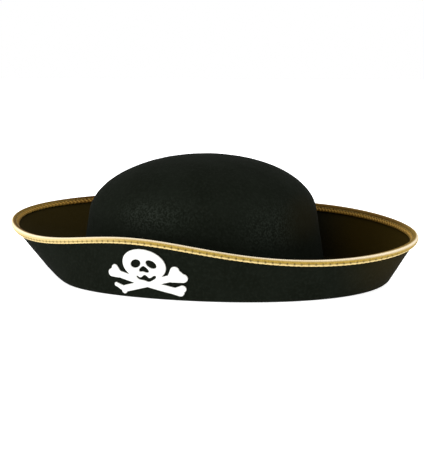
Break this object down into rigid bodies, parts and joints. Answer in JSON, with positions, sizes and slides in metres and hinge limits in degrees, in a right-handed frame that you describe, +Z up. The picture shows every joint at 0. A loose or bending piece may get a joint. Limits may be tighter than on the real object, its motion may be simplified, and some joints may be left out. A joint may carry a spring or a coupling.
{
  "type": "pirate hat",
  "caption": "Felt pirate hat with an oval domed crown, a boat-shaped brim turned up all round and edged in gold braid, and a skull and crossbones on the front.",
  "frame": {"origin": "centre of the footprint of the turned-up brim, on the plane that the hat rests on", "axes": "+X from tip to tip towards the wearer's left, -Y towards the front with the skull and crossbones, +Z up through the crown"},
  "size_m": [0.3399, 0.2336, 0.0946],
  "materials": {
    "black_felt": "matt pressed wool felt, lightly mottled",
    "gold_braid": "ribbed metallic thread braid, satin",
    "gold_thread": "matt sewing thread",
    "black_ribbon": "ribbed grosgrain, satin",
    "black_thread": "matt sewing thread",
    "white_felt": "matt die-cut felt",
    "label_tape": "woven tape, blank"
  },
  "bodies": {
    "root": {"crown": "black_felt", "brim": "black_felt", "brim_binding": "gold_braid", "binding_needle_thread": "gold_thread", "binding_bobbin_thread": "gold_thread", "sweatband": "black_ribbon", "headline_needle_thread": "black_thread", "headline_bobbin_thread": "black_thread", "skull_badge": "white_felt", "care_label": "label_tape"}
  },
  "joints": []
}
